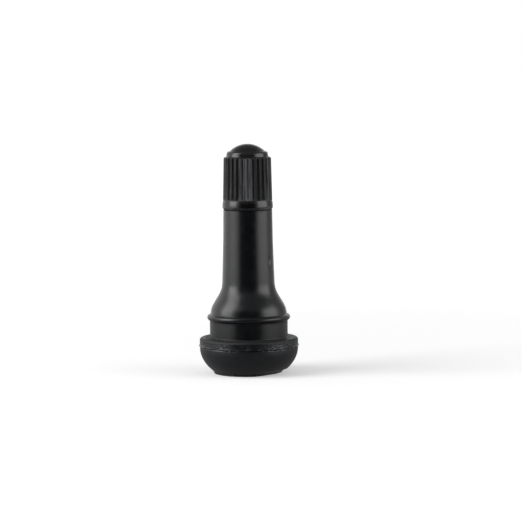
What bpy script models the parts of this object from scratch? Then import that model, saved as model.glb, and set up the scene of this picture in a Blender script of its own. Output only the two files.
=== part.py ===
"""Snap-in tubeless tyre valve.

A moulded rubber body holds a turned brass stem. A spring-loaded valve core is screwed into the stem's
mouth, and a fluted plastic cap with a rubber seal ring is screwed over its tip. Metres, +Z up, with the
origin at the centre of the body's flat underside and every piece turned about the Z axis.
"""

import math

import bmesh
import bpy
from mathutils import Matrix, Vector

MM = 0.001

# Clearances between pieces
BOND_GAP = 0.2 * MM  # rubber to the brass it is moulded round
SEAT_GAP = 0.15 * MM  # faces that rest on each other
RUN_GAP = 0.3 * MM  # bores and the pieces inside them
AIR_GAP = 0.35 * MM  # round the pin, where the air passes

# Brass stem, threaded 7.75 mm over its crests
TIP_WALL = 0.95 * MM  # from the core's thread to the mean radius of the cap's thread
THREAD_DEPTH = 0.55 * MM
THREAD_EXPOSED = 10.1 * MM  # threaded length that stands above the rubber
NOSE_LENGTH = 0.7 * MM
NOSE_FACE = 0.25 * MM
MOUTH_CHAMFER = 0.3 * MM
STEM_WALL = 0.9 * MM  # round the core's bore, inside the rubber
SHOULDER_DEPTH = 0.7 * MM  # how far the full diameter goes down into the rubber
SHOULDER_CONE = 1.0 * MM
AIR_BORE_R = 1.5 * MM
FOOT_LIP = 1.3 * MM  # the foot flange beyond the tube
FOOT_THICKNESS = 1.0 * MM
FOOT_HEIGHT = 5.5 * MM  # from the underside of the rubber
BARB_COUNT = 4
BARB_LIP = 0.4 * MM
BARB_LENGTH = 1.6 * MM
BARB_PITCH = 3.0 * MM
FIRST_BARB = 5.0 * MM  # above the foot flange

# Rubber body, from the underside up
UNDERSIDE_INSET = 2.85 * MM  # the flat underside's edge inside the widest radius
UNDERSIDE_LIP = 0.25 * MM
BULB_REACH = 5.0 * MM  # radial half-axis of the bulb's curve
BULB_LEVEL = 5.15 * MM  # where the bulb is widest
FLASH_RISE = 0.28 * MM
FLASH_PROUD = 0.2 * MM
FLASH_THICKNESS = 0.22 * MM
RIM_HEIGHT = 1.57 * MM  # from the flash to the ledge that the wheel rim rests on
LEDGE_WIDTH = 2.0 * MM
LEDGE_CORNER_R = 0.5 * MM
GROOVE_R = 7.55 * MM
GROOVE_WIDTH = 3.3 * MM
GROOVE_FILLET = 0.12 * MM
RIDGE_PROUD = 0.48 * MM
RIDGE_WIDTH = 1.25 * MM
BELL_INSET = 0.12 * MM  # the bell's foot inside the groove's radius
BELL_RISE = 6.35 * MM
BELL_SLOPE = 7.3  # degrees from upright, where the bell leaves the ridge
BELL_LOWER_PULL = 0.43  # share of the bell's rise that each end of its curve pulls over
BELL_UPPER_PULL = 0.46
NECK_LENGTH = 13.8 * MM
NECK_WALL = 0.815 * MM  # rubber outside the thread's crests, at the top
NECK_DRAFT = 0.33 * MM  # how much wider the neck is at its foot
NECK_DRAFT_POWER = 1.5
NECK_EDGE_R = 0.2 * MM
BASE_BORE_R = 2.6 * MM
BORE_CHAMFER = 0.25 * MM

# Cap
CAP_WALL = 0.7 * MM  # from the bore to the top of the ribs
CAP_DRAFT = 0.17 * MM
SKIRT_HEIGHT = 1.75 * MM
SKIRT_WIDEST = 0.6 * MM  # height of the skirt's widest level above its foot
SKIRT_PROUD = 0.15 * MM
SKIRT_EDGE = 0.3 * MM  # how far the skirt's foot turns in
SKIRT_SWELL = 0.035 * MM
SKIRT_ROUNDING = 0.055 * MM
LEAD_IN = 0.4 * MM
RIB_TOP_CHAMFER = 0.15 * MM
RIB_TOP_BEVEL = 0.22 * MM
CROWN_HEIGHT = 1.17 * MM  # from the top of the ribs to the foot of the dome
CROWN_WALL = 0.66 * MM
CROWN_FLARE = 0.08 * MM
CROWN_EDGE_R = 0.5 * MM
CEILING_WALL = 0.52 * MM  # from the ceiling up to the foot of the dome
DOME_RISE = 1.43 * MM
DOME_INSET = 0.58 * MM
RECESS_R = 1.8 * MM
RECESS_DEPTH = 0.7 * MM
FLUTES = 28
FLUTE_R = 0.235 * MM
FLUTE_DEPTH = 0.36 * MM
FLUTE_RUN_OUT = 0.8 * MM
FLUTE_EXIT = 0.8 * MM  # how far the tool has moved out at the end of the run-out
FLUTE_TURN = 1.2  # degrees by which one groove stands to the right of the -Y direction
SEAL_THICKNESS = 0.5 * MM
SEAL_HOLE_R = 1.4 * MM
SEAL_MARGIN = 0.2 * MM

# Valve core
PIN_R = 0.55 * MM
PIN_RECESS = 0.35 * MM  # the pin's tip below the stem's tip
PIN_TRAVEL = 1.0 * MM
PIN_HEAD_LIP = 0.55 * MM
PIN_HEAD_HEIGHT = 0.6 * MM
PIN_STOP_HEIGHT = 0.5 * MM
CORE_CHAMFER = 0.15 * MM
PLUG_RECESS = 1.4 * MM
PLUG_LENGTH = 5.0 * MM
PLUG_WALL = 0.475 * MM  # outside the socket that the barrel swivels in
BRIDGE_HEIGHT = 1.6 * MM
BRIDGE_WIDTH = 2.7 * MM
COLLAR_HEIGHT = 0.5 * MM
COLLAR_LIP = 0.4 * MM  # the swivel collar beyond the neck that it sits on
BARREL_WALL = 0.4 * MM
FLANGE_HEIGHT = 0.4 * MM
GASKET_HEIGHT = 1.2 * MM
GASKET_TAPER = 0.55 * MM
SPRING_WIRE_R = 0.12 * MM
SPRING_LENGTH = 5.0 * MM
SPRING_TURNS = 8
SPRING_CLOSED_TURNS = 1  # at each end
SPRING_CLOSED_PITCH = 0.31 * MM
SPRING_GAP = 0.14 * MM
LEDGE_THICKNESS = 0.6 * MM
SEAT_LIP_HEIGHT = 0.4 * MM
SEAT_LIP_WALL = 0.32 * MM
CUP_WALL = 0.2 * MM
CUP_FLOOR = 0.4 * MM
CUP_DEPTH = 0.9 * MM
PLUNGER_GASKET_HEIGHT = 1.05 * MM
BORE_RUN_OUT = 0.8 * MM  # room under the pin when it is pressed right down

# How finely round forms are cut
BODY_SEGMENTS = 44
STEM_SEGMENTS = 32
CORE_SEGMENTS = 20
CAP_STEPS_PER_FLUTE = 3
SPRING_STEPS = 10
BULB_STEPS = 6
CORNER_STEPS = 3
RIDGE_STEPS = 5
BELL_STEPS = 7
NECK_STEPS = 3
DOME_STEPS = 5
SKIRT_STEPS = 2
SHARP_ANGLE = 32  # degrees between faces above which their edge is sharp

# Heights up the rubber body and the stem
FLASH_HEIGHT = BULB_LEVEL + FLASH_RISE
LEDGE_HEIGHT = FLASH_HEIGHT + RIM_HEIGHT
GROOVE_TOP = LEDGE_HEIGHT + GROOVE_WIDTH
BELL_FOOT = GROOVE_TOP + RIDGE_WIDTH
BELL_TOP = BELL_FOOT + BELL_RISE
RUBBER_TOP = BELL_TOP + NECK_LENGTH
STEM_TIP = RUBBER_TOP + THREAD_EXPOSED

# Heights down the core, from the stem's tip
PIN_TOP = STEM_TIP - PIN_RECESS
PLUG_TOP = STEM_TIP - PLUG_RECESS
PLUG_FOOT = PLUG_TOP - PLUG_LENGTH
COLLAR_FOOT = PLUG_FOOT + COLLAR_HEIGHT + SEAT_GAP
FLANGE_TOP = PLUG_FOOT - SEAT_GAP
FLANGE_FOOT = FLANGE_TOP - FLANGE_HEIGHT
GASKET_TOP = FLANGE_FOOT - SEAT_GAP
GASKET_FOOT = GASKET_TOP - GASKET_HEIGHT
BARREL_SHOULDER = GASKET_FOOT - SEAT_GAP
SPRING_BORE_TOP = BARREL_SHOULDER - BARREL_WALL
PIN_STOP_TOP = SPRING_BORE_TOP - SEAT_GAP
PIN_STOP_FOOT = PIN_STOP_TOP - PIN_STOP_HEIGHT
SPRING_TOP = PIN_STOP_FOOT - SEAT_GAP
SPRING_FOOT = SPRING_TOP - SPRING_LENGTH
LEDGE_TOP = SPRING_FOOT - SEAT_GAP
LEDGE_FOOT = LEDGE_TOP - LEDGE_THICKNESS
SEAT_LIP_FOOT = LEDGE_FOOT - SEAT_LIP_HEIGHT
PLUNGER_GASKET_TOP = SEAT_LIP_FOOT - SEAT_GAP
PLUNGER_GASKET_FOOT = PLUNGER_GASKET_TOP - PLUNGER_GASKET_HEIGHT
CUP_FLOOR_TOP = PLUNGER_GASKET_FOOT - SEAT_GAP
CUP_FOOT = CUP_FLOOR_TOP - CUP_FLOOR
PIN_HEAD_TOP = CUP_FOOT - SEAT_GAP
PIN_FOOT = PIN_HEAD_TOP - PIN_HEAD_HEIGHT
CORE_BORE_FOOT = PIN_FOOT - PIN_TRAVEL - BORE_RUN_OUT

# Radii from the pin outwards
PIN_BORE_R = PIN_R + AIR_GAP
BARREL_NECK_R = PIN_BORE_R + BARREL_WALL
COLLAR_R = BARREL_NECK_R + COLLAR_LIP
SOCKET_R = COLLAR_R + AIR_GAP / 2
PLUG_R = SOCKET_R + PLUG_WALL
CORE_THREAD_R = PLUG_R + RUN_GAP
SPRING_INNER_R = PIN_R + SPRING_GAP
SPRING_OUTER_R = SPRING_INNER_R + 2 * SPRING_WIRE_R
SPRING_BORE_R = SPRING_OUTER_R + SPRING_GAP
BARREL_R = SPRING_BORE_R + BARREL_WALL
CORE_BORE_R = BARREL_R + RUN_GAP
TUBE_R = CORE_BORE_R + STEM_WALL
FOOT_R = TUBE_R + FOOT_LIP
NOSE_R = CORE_THREAD_R + MOUTH_CHAMFER + NOSE_FACE
THREAD_R = CORE_THREAD_R + TIP_WALL  # the thread's mean radius stands for its turns
THREAD_MAJOR_R = THREAD_R + THREAD_DEPTH / 2
NECK_TOP_R = THREAD_MAJOR_R + NECK_WALL
NECK_FOOT_R = NECK_TOP_R + NECK_DRAFT
BASE_R = GROOVE_R + LEDGE_WIDTH
UNDERSIDE_R = BASE_R - UNDERSIDE_INSET

# The cap, which follows the stem's tip and the rubber's top
CAP_FOOT = RUBBER_TOP + SEAT_GAP
SKIRT_TOP = CAP_FOOT + SKIRT_HEIGHT
SEAL_FOOT = STEM_TIP + SEAT_GAP
SEAL_TOP = SEAL_FOOT + SEAL_THICKNESS
CEILING = SEAL_TOP + SEAT_GAP
DOME_FOOT = CEILING + CEILING_WALL
RIB_TOP = DOME_FOOT - CROWN_HEIGHT
CAP_BORE_R = THREAD_R + RUN_GAP
CAP_R = CAP_BORE_R + CAP_WALL
CAP_FOOT_R = CAP_R + CAP_DRAFT
CAP_CAVITY_R = NOSE_R + SEAT_GAP
SEAL_R = CAP_CAVITY_R - SEAL_MARGIN
CROWN_R = CAP_CAVITY_R + CROWN_WALL
DOME_R = CROWN_R - DOME_INSET


def arc(centre_r, centre_z, radius, start, end, steps):
    """Points on an arc in the (r, z) plane, with its angles in degrees from the +r direction."""
    angles = [math.radians(start + (end - start) * i / steps) for i in range(steps + 1)]
    return [(centre_r + radius * math.cos(a), centre_z + radius * math.sin(a)) for a in angles]


def bulge(first, last, height, steps):
    """Points of the arc from first to last that stands out by height on the right of that line."""
    chord = Vector(last) - Vector(first)
    half = chord.length / 2
    radius = (half * half + height * height) / (2 * height)
    outward = Vector((chord.y, -chord.x)).normalized()
    centre = (Vector(first) + Vector(last)) / 2 - outward * (radius - height)
    sweep = math.asin(half / radius)
    middle = math.atan2(outward.y, outward.x)
    angles = [middle + sweep * (2 * i / steps - 1) for i in range(steps + 1)]
    return [(centre.x + radius * math.cos(a), centre.y + radius * math.sin(a)) for a in angles]


def cubic(start, start_pull, end_pull, end, steps):
    """Points on a cubic curve with the given end points and handles."""
    points = []
    for i in range(steps + 1):
        t = i / steps
        weights = ((1 - t) ** 3, 3 * t * (1 - t) ** 2, 3 * t * t * (1 - t), t**3)
        corners = (start, start_pull, end_pull, end)
        points.append(tuple(sum(w * c[k] for w, c in zip(weights, corners)) for k in (0, 1)))
    return points


def finish(name, colour, roughness, metallic=0.0):
    """A Principled material."""
    material = bpy.data.materials.new(name)
    material.use_nodes = True
    shader = material.node_tree.nodes["Principled BSDF"]
    shader.inputs["Base Color"].default_value = (*colour, 1.0)
    shader.inputs["Roughness"].default_value = roughness
    shader.inputs["Metallic"].default_value = metallic
    return material


def place(name, mesh, material, datum=0.0, parent=None):
    """Adds a mesh that was drawn in world heights, with the object's origin at the datum height."""
    mesh.transform(Matrix.Translation((0, 0, -datum)))
    mesh.materials.append(material)
    mesh.shade_smooth()
    mesh.set_sharp_from_angle(angle=math.radians(SHARP_ANGLE))
    piece = bpy.data.objects.new(name, mesh)
    bpy.context.scene.collection.objects.link(piece)
    piece.location.z = datum - (parent.location.z if parent else 0.0)
    piece.parent = parent
    return piece


def axis_empty(name, height):
    """An empty on the Z axis that carries the pieces which move along or about it."""
    empty = bpy.data.objects.new(name, None)
    empty.location.z = height
    bpy.context.scene.collection.objects.link(empty)
    return empty


def turned(name, outline, segments):
    """A mesh turned about Z from an outline of (r, z) points, closed or from axis to axis."""
    work = bmesh.new()
    rim = [work.verts.new((r, 0, z)) for r, z in outline]
    pairs = list(zip(rim, rim[1:]))
    if outline[0][0] > 0:
        pairs.append((rim[-1], rim[0]))
    edges = [work.edges.new(pair) for pair in pairs]
    bmesh.ops.spin(
        work, geom=rim + edges, cent=(0, 0, 0), axis=(0, 0, 1), dvec=(0, 0, 0),
        angle=math.tau, steps=segments, use_merge=True,
    )
    bmesh.ops.remove_doubles(work, verts=work.verts, dist=0.001 * MM)
    bmesh.ops.recalc_face_normals(work, faces=work.faces)
    mesh = bpy.data.meshes.new(name)
    work.to_mesh(mesh)
    work.free()
    return mesh


def cutter(name, mesh, parent=None):
    """A shape that only cuts others."""
    piece = bpy.data.objects.new(name, mesh)
    bpy.context.scene.collection.objects.link(piece)
    piece.parent = parent
    piece.hide_render = True
    piece.display_type = "WIRE"
    return piece


def cut_from(piece, tool):
    """Cuts a tool's shape out of a piece."""
    modifier = piece.modifiers.new(tool.name, "BOOLEAN")
    modifier.operation = "DIFFERENCE"
    modifier.object = tool


def stem_outside(gap):
    """The stem's outline inside the rubber, from the foot up, grown by a gap for the rubber's cavity."""
    tube = TUBE_R + gap
    foot_top = FOOT_HEIGHT + FOOT_THICKNESS
    outline = [
        (FOOT_R + gap, FOOT_HEIGHT - gap),
        (FOOT_R + gap, foot_top + gap),
        (tube, foot_top + gap),
    ]
    for i in range(BARB_COUNT):
        foot = foot_top + FIRST_BARB + i * BARB_PITCH
        outline += [
            (tube, foot - gap),
            (tube + BARB_LIP, foot - gap),
            (tube, foot + BARB_LENGTH),
        ]
    cone_top = RUBBER_TOP - SHOULDER_DEPTH
    outline += [(tube, cone_top - SHOULDER_CONE), (THREAD_R + gap, cone_top)]
    return outline


def neck_radius(height):
    """The neck narrows towards its top, faster near the bell."""
    down = (RUBBER_TOP - height) / NECK_LENGTH
    return NECK_TOP_R + NECK_DRAFT * down**NECK_DRAFT_POWER


def bulb_side(steps):
    """The bulb from the lip of its underside up to its widest level, part of a quarter ellipse."""
    first = math.asin((BULB_REACH - UNDERSIDE_INSET) / BULB_REACH)
    half_height = (BULB_LEVEL - UNDERSIDE_LIP) / math.cos(first)
    points = []
    for i in range(steps + 1):
        angle = first + (math.pi / 2 - first) * i / steps
        radius = BASE_R - BULB_REACH * (1 - math.sin(angle))
        points.append((radius, BULB_LEVEL - half_height * math.cos(angle)))
    return points


def rubber_body(black_rubber):
    """Bulb, rim groove, ridge, bell and neck in one moulding, hollow for the stem."""
    outline = [(BASE_BORE_R + BORE_CHAMFER, 0), (UNDERSIDE_R, 0)] + bulb_side(BULB_STEPS)
    half = FLASH_THICKNESS / 2
    outline += [
        (BASE_R, FLASH_HEIGHT - half),
        (BASE_R + FLASH_PROUD, FLASH_HEIGHT),
        (BASE_R, FLASH_HEIGHT + half),
    ]
    corner = LEDGE_CORNER_R
    outline += arc(BASE_R - corner, LEDGE_HEIGHT - corner, corner, 0, 90, CORNER_STEPS)
    outline += [
        (GROOVE_R + GROOVE_FILLET, LEDGE_HEIGHT),
        (GROOVE_R, LEDGE_HEIGHT + GROOVE_FILLET),
    ]
    bell_foot = (GROOVE_R - BELL_INSET, BELL_FOOT)
    outline += bulge((GROOVE_R, GROOVE_TOP), bell_foot, RIDGE_PROUD, RIDGE_STEPS)
    slope = math.radians(BELL_SLOPE)
    lower = BELL_RISE * BELL_LOWER_PULL
    upper = BELL_RISE * BELL_UPPER_PULL
    outline += cubic(
        bell_foot,
        (bell_foot[0] - lower * math.sin(slope), bell_foot[1] + lower * math.cos(slope)),
        (NECK_FOOT_R, BELL_TOP - upper),
        (NECK_FOOT_R, BELL_TOP),
        BELL_STEPS,
    )[1:]
    edge = NECK_EDGE_R
    neck_top = RUBBER_TOP - edge
    for i in range(1, NECK_STEPS + 1):
        height = BELL_TOP + (neck_top - BELL_TOP) * i / NECK_STEPS
        outline.append((neck_radius(height), height))
    outline += arc(NECK_TOP_R - edge, neck_top, edge, 30, 90, 2)
    outline.append((THREAD_R + BOND_GAP, RUBBER_TOP))
    outline += reversed(stem_outside(BOND_GAP))
    outline += [(BASE_BORE_R, FOOT_HEIGHT - BOND_GAP), (BASE_BORE_R, BORE_CHAMFER)]
    place("rubber_body", turned("rubber_body", outline, BODY_SEGMENTS), black_rubber)


def stem_insert(brass):
    """The turned brass stem: foot flange, barbed tube, threaded tip and the stepped bore for the core."""
    outline = stem_outside(0)
    outline += [
        (THREAD_R, STEM_TIP - NOSE_LENGTH),
        (NOSE_R, STEM_TIP),
        (CORE_THREAD_R + MOUTH_CHAMFER, STEM_TIP),
        (CORE_THREAD_R, STEM_TIP - MOUTH_CHAMFER),
        (CORE_THREAD_R, GASKET_TOP),
        (CORE_THREAD_R - GASKET_TAPER, GASKET_FOOT),
        (CORE_BORE_R, GASKET_FOOT - SEAT_GAP),
        (CORE_BORE_R, CORE_BORE_FOOT),
        (AIR_BORE_R, CORE_BORE_FOOT - (CORE_BORE_R - AIR_BORE_R)),
        (AIR_BORE_R, FOOT_HEIGHT),
    ]
    place("stem_insert", turned("stem_insert", outline, STEM_SEGMENTS), brass)


def core_plug(brass):
    """The core's threaded plug: a bridge with two flats on top, a pin bore and a swivel socket below."""
    socket_top = COLLAR_FOOT + COLLAR_HEIGHT + SEAT_GAP
    lip_r = BARREL_NECK_R + SEAT_GAP
    lip_top = COLLAR_FOOT - SEAT_GAP
    outline = [
        (lip_r, PLUG_FOOT),
        (PLUG_R - CORE_CHAMFER, PLUG_FOOT),
        (PLUG_R, PLUG_FOOT + CORE_CHAMFER),
        (PLUG_R, PLUG_TOP - CORE_CHAMFER),
        (PLUG_R - CORE_CHAMFER, PLUG_TOP),
        (PIN_BORE_R, PLUG_TOP),
        (PIN_BORE_R, socket_top),
        (SOCKET_R, socket_top),
        (SOCKET_R, lip_top),
        (lip_r, lip_top),
    ]
    plug = place("core_plug", turned("core_plug", outline, CORE_SEGMENTS), brass)
    side = 2 * CORE_THREAD_R
    for sign in (-1, 1):
        work = bmesh.new()
        bmesh.ops.create_cube(work, size=1)
        bmesh.ops.scale(work, vec=(side, side, 2 * BRIDGE_HEIGHT), verts=work.verts)
        offset = sign * (BRIDGE_WIDTH + side) / 2
        bmesh.ops.translate(work, vec=(0, offset, PLUG_TOP), verts=work.verts)
        mesh = bpy.data.meshes.new("bridge_flat")
        work.to_mesh(mesh)
        work.free()
        cut_from(plug, cutter("bridge_flat", mesh))


def core_barrel(brass):
    """The core's barrel: swivel collar, flange, gasket neck, spring chamber and the valve's seat lip."""
    seat_inner_r = SPRING_BORE_R - SEAT_LIP_WALL
    outline = [
        (PIN_BORE_R, COLLAR_FOOT + COLLAR_HEIGHT),
        (PIN_BORE_R, SPRING_BORE_TOP),
        (SPRING_BORE_R, SPRING_BORE_TOP),
        (SPRING_BORE_R, LEDGE_TOP),
        (PIN_BORE_R, LEDGE_TOP),
        (PIN_BORE_R, LEDGE_FOOT),
        (seat_inner_r, LEDGE_FOOT),
        (seat_inner_r, SEAT_LIP_FOOT),
        (SPRING_BORE_R, SEAT_LIP_FOOT),
        (SPRING_BORE_R, LEDGE_FOOT),
        (BARREL_R, LEDGE_FOOT),
        (BARREL_R, BARREL_SHOULDER),
        (BARREL_NECK_R, BARREL_SHOULDER),
        (BARREL_NECK_R, FLANGE_FOOT),
        (BARREL_R + SEAT_GAP, FLANGE_FOOT),
        (BARREL_R + SEAT_GAP, FLANGE_TOP),
        (BARREL_NECK_R, FLANGE_TOP),
        (BARREL_NECK_R, COLLAR_FOOT),
        (COLLAR_R, COLLAR_FOOT),
        (COLLAR_R, COLLAR_FOOT + COLLAR_HEIGHT),
    ]
    place("core_barrel", turned("core_barrel", outline, CORE_SEGMENTS), brass)


def barrel_gasket(white_seal):
    """The tapered ring round the barrel's neck that seals the core against the stem's cone."""
    inner = BARREL_NECK_R + SEAT_GAP
    top_r = CORE_THREAD_R - SEAT_GAP
    outline = [
        (inner, GASKET_TOP),
        (inner, GASKET_FOOT),
        (top_r - GASKET_TAPER, GASKET_FOOT),
        (top_r, GASKET_TOP),
    ]
    place("barrel_gasket", turned("barrel_gasket", outline, CORE_SEGMENTS), white_seal)


def core_spring(steel):
    """The compression spring round the pin, with close turns at both ends."""
    steps = SPRING_TURNS * SPRING_STEPS
    middle_r = SPRING_INNER_R + SPRING_WIRE_R
    closed_rise = SPRING_CLOSED_TURNS * SPRING_CLOSED_PITCH
    open_rise = SPRING_LENGTH - 2 * SPRING_WIRE_R - 2 * closed_rise
    open_pitch = open_rise / (SPRING_TURNS - 2 * SPRING_CLOSED_TURNS)
    curve = bpy.data.curves.new("core_spring", "CURVE")
    curve.dimensions = "3D"
    curve.bevel_depth = SPRING_WIRE_R
    curve.bevel_resolution = 1
    curve.use_fill_caps = True
    spline = curve.splines.new("POLY")
    spline.points.add(steps)
    for i, point in enumerate(spline.points):
        turns = i / SPRING_STEPS
        low = min(turns, SPRING_CLOSED_TURNS)
        high = max(turns - (SPRING_TURNS - SPRING_CLOSED_TURNS), 0)
        rise = (low + high) * SPRING_CLOSED_PITCH + (turns - low - high) * open_pitch
        angle = math.tau * turns
        point.co = (
            middle_r * math.cos(angle),
            middle_r * math.sin(angle),
            SPRING_WIRE_R + rise,
            1.0,
        )
    curve.materials.append(steel)
    spring = bpy.data.objects.new("core_spring", curve)
    spring.location.z = SPRING_FOOT
    bpy.context.scene.collection.objects.link(spring)


def pin_assembly(brass, dark_rubber):
    """The pin with its stop ring and peened head, and the plunger cup and gasket that it carries."""
    travel_axis = axis_empty("pin_axis", PIN_FOOT)
    head_r = PIN_R + PIN_HEAD_LIP
    pin = [
        (0, PIN_FOOT),
        (head_r - CORE_CHAMFER, PIN_FOOT),
        (head_r, PIN_FOOT + CORE_CHAMFER),
        (head_r, PIN_HEAD_TOP),
        (PIN_R, PIN_HEAD_TOP),
        (PIN_R, PIN_STOP_FOOT),
        (SPRING_OUTER_R, PIN_STOP_FOOT),
        (SPRING_OUTER_R, PIN_STOP_TOP),
        (PIN_R, PIN_STOP_TOP),
        (PIN_R, PIN_TOP - CORE_CHAMFER),
        (PIN_R - CORE_CHAMFER, PIN_TOP),
        (0, PIN_TOP),
    ]
    place("core_pin", turned("core_pin", pin, CORE_SEGMENTS), brass, PIN_FOOT, travel_axis)

    hole_r = PIN_R + SEAT_GAP
    rim_top = CUP_FLOOR_TOP + CUP_DEPTH
    cup = [
        (hole_r, CUP_FOOT),
        (BARREL_R - CORE_CHAMFER, CUP_FOOT),
        (BARREL_R, CUP_FOOT + CORE_CHAMFER),
        (BARREL_R, rim_top),
        (BARREL_R - CUP_WALL, rim_top),
        (BARREL_R - CUP_WALL, CUP_FLOOR_TOP),
        (hole_r, CUP_FLOOR_TOP),
    ]
    place("plunger_cup", turned("plunger_cup", cup, CORE_SEGMENTS), brass, CUP_FOOT, travel_axis)

    gasket_r = BARREL_R - CUP_WALL - SEAT_GAP / 2
    gasket = [
        (hole_r, PLUNGER_GASKET_FOOT),
        (gasket_r, PLUNGER_GASKET_FOOT),
        (gasket_r, PLUNGER_GASKET_TOP),
        (hole_r, PLUNGER_GASKET_TOP),
    ]
    mesh = turned("plunger_gasket", gasket, CORE_SEGMENTS)
    place("plunger_gasket", mesh, dark_rubber, PLUNGER_GASKET_FOOT, travel_axis)


def flute_cutters(parent, datum):
    """One round bar for each groove, following the cap's draft and curving out at its lower end."""
    sides = 8
    slope = CAP_DRAFT / (RIB_TOP - SKIRT_TOP)
    run_out_steps = 4
    foot = SKIRT_TOP + FLUTE_RUN_OUT
    top = RIB_TOP + 2 * FLUTE_R

    def bar_centre(height):
        return CAP_R - (height - RIB_TOP) * slope + FLUTE_R - FLUTE_DEPTH

    # the run-out is a quarter of an ellipse, steepest where it leaves the cap's side
    path = [(bar_centre(top), top)]
    for i in range(run_out_steps + 1):
        angle = math.pi / 2 * i / run_out_steps
        height = foot - FLUTE_RUN_OUT * math.sin(angle)
        path.append((bar_centre(height) + FLUTE_EXIT * (1 - math.cos(angle)), height))

    work = bmesh.new()
    for k in range(FLUTES):
        turn = Matrix.Rotation(math.tau * k / FLUTES + math.radians(FLUTE_TURN - 90), 3, "Z")
        rings = []
        for i, (r, z) in enumerate(path):
            before = Vector(path[max(i - 1, 0)])
            after = Vector(path[min(i + 1, len(path) - 1)])
            along = (after - before).normalized()
            ring = []
            for s in range(sides):
                angle = math.tau * (s + 0.5) / sides
                out = FLUTE_R * math.cos(angle)
                across = FLUTE_R * math.sin(angle)
                point = Vector((r - along.y * out, across, z + along.x * out - datum))
                ring.append(work.verts.new(turn @ point))
            rings.append(ring)
        for lower, upper in zip(rings, rings[1:]):
            for s in range(sides):
                e = (s + 1) % sides
                work.faces.new((lower[s], lower[e], upper[e], upper[s]))
        work.faces.new(rings[0])
        work.faces.new(rings[-1])
    bmesh.ops.recalc_face_normals(work, faces=work.faces)
    mesh = bpy.data.meshes.new("flute_bars")
    work.to_mesh(mesh)
    work.free()
    return cutter("flute_bars", mesh, parent)


def cap_and_seal(black_plastic, dark_rubber):
    """The screw cap: skirt, fluted grip, crown ring and dome, with the seal ring under its ceiling."""
    cap_axis = axis_empty("cap_axis", CAP_FOOT)
    widest = (CAP_FOOT_R + SKIRT_PROUD, CAP_FOOT + SKIRT_WIDEST)
    skirt_foot = (widest[0] - SKIRT_EDGE, CAP_FOOT)
    crown_foot = RIB_TOP + RIB_TOP_CHAMFER
    crown_edge = CROWN_EDGE_R
    sphere_r = (DOME_R**2 + DOME_RISE**2) / (2 * DOME_RISE)
    dome_half = math.degrees(math.asin(DOME_R / sphere_r))
    dome = arc(0, DOME_FOOT + DOME_RISE - sphere_r, sphere_r, 90, 90 - dome_half, DOME_STEPS)
    outline = [(0, DOME_FOOT + DOME_RISE)] + dome[1:]
    outline += arc(CROWN_R - crown_edge, DOME_FOOT - crown_edge, crown_edge, 90, 0, CORNER_STEPS)
    outline += [
        (CROWN_R + CROWN_FLARE, crown_foot),
        (CAP_R - RIB_TOP_CHAMFER, RIB_TOP),
        (CAP_R, RIB_TOP - RIB_TOP_BEVEL),
    ]
    outline += reversed(bulge(widest, (CAP_FOOT_R, SKIRT_TOP), SKIRT_SWELL, SKIRT_STEPS))
    outline += reversed(bulge(skirt_foot, widest, SKIRT_ROUNDING, SKIRT_STEPS)[:-1])
    outline += [
        (CAP_BORE_R + LEAD_IN, CAP_FOOT),
        (CAP_BORE_R, CAP_FOOT + LEAD_IN),
        (CAP_BORE_R, STEM_TIP - NOSE_LENGTH),
        (CAP_CAVITY_R, STEM_TIP),
        (CAP_CAVITY_R, CEILING),
        (RECESS_R, CEILING),
        (RECESS_R - RECESS_DEPTH / 2, CEILING + RECESS_DEPTH),
        (0, CEILING + RECESS_DEPTH),
    ]
    mesh = turned("cap", outline, CAP_STEPS_PER_FLUTE * FLUTES)
    cap = place("cap", mesh, black_plastic, CAP_FOOT, cap_axis)
    cut_from(cap, flute_cutters(cap_axis, CAP_FOOT))

    seal = [
        (SEAL_HOLE_R, SEAL_FOOT),
        (SEAL_R, SEAL_FOOT),
        (SEAL_R, SEAL_TOP),
        (SEAL_HOLE_R, SEAL_TOP),
    ]
    mesh = turned("cap_seal", seal, STEM_SEGMENTS)
    place("cap_seal", mesh, dark_rubber, SEAL_FOOT, cap_axis)


def build():
    """Clears the scene and builds every piece."""
    for old in list(bpy.data.objects):
        bpy.data.objects.remove(old)
    black_rubber = finish("black_rubber", (0.018, 0.018, 0.020), 0.42)
    dark_rubber = finish("dark_rubber", (0.03, 0.03, 0.032), 0.6)
    black_plastic = finish("black_plastic", (0.014, 0.014, 0.015), 0.32)
    brass = finish("brass", (0.72, 0.53, 0.25), 0.28, 1.0)
    steel = finish("steel", (0.55, 0.55, 0.56), 0.25, 1.0)
    white_seal = finish("white_seal", (0.75, 0.74, 0.70), 0.5)
    rubber_body(black_rubber)
    stem_insert(brass)
    core_plug(brass)
    core_barrel(brass)
    barrel_gasket(white_seal)
    core_spring(steel)
    pin_assembly(brass, dark_rubber)
    cap_and_seal(black_plastic, dark_rubber)


build()
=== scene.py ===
"""Looks of the snap-in tyre valve: fine surfaces, real threads, materials and a small studio.

Metres, +Z up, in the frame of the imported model. Every piece but the core's spring is turned about
the Z axis: the cap from its own sizes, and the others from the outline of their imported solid, with
more steps and with their fine detail.
"""

import math

import bmesh
import bpy
from mathutils import Matrix, Vector, noise


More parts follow.
